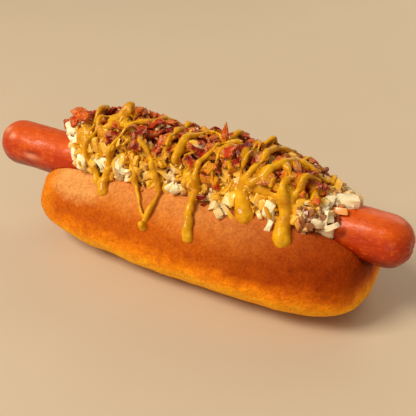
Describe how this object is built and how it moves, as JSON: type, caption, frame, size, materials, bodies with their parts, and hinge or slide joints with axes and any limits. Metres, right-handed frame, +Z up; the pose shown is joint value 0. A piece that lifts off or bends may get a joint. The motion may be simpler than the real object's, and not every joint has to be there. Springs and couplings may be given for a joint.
{
  "type": "hot dog",
  "caption": "Loaded hot dog: a long frankfurter in a soft top-split bun, heaped with chopped onion, crumbled bacon and a zigzag of mustard that drips down the near side.",
  "frame": {"origin": "on the surface that the bun rests on, under the middle of the whole hot dog's box", "axes": "+Z up, +X along the frankfurter towards its right end, -Y towards the near side with the drips"},
  "size_m": [0.2154, 0.072, 0.0717],
  "materials": {
    "bun_crust": "baked bread crust, satin, golden brown to tan",
    "bun_crumb": "soft open crumb of white bread, matt",
    "sausage_skin": "moist, glossy sausage skin, orange red",
    "onion": "chopped raw onion, moist and a little translucent",
    "bacon": "fried crumbled bacon, dark red to orange, greasy",
    "mustard": "smooth yellow mustard, glossy",
    "relish": "chopped pickle and carrot, moist"
  },
  "bodies": {
    "root": {"bun": "bun_crust", "sausage": "sausage_skin", "onion_heap": "onion", "bacon_heap": "bacon"}
  },
  "joints": []
}
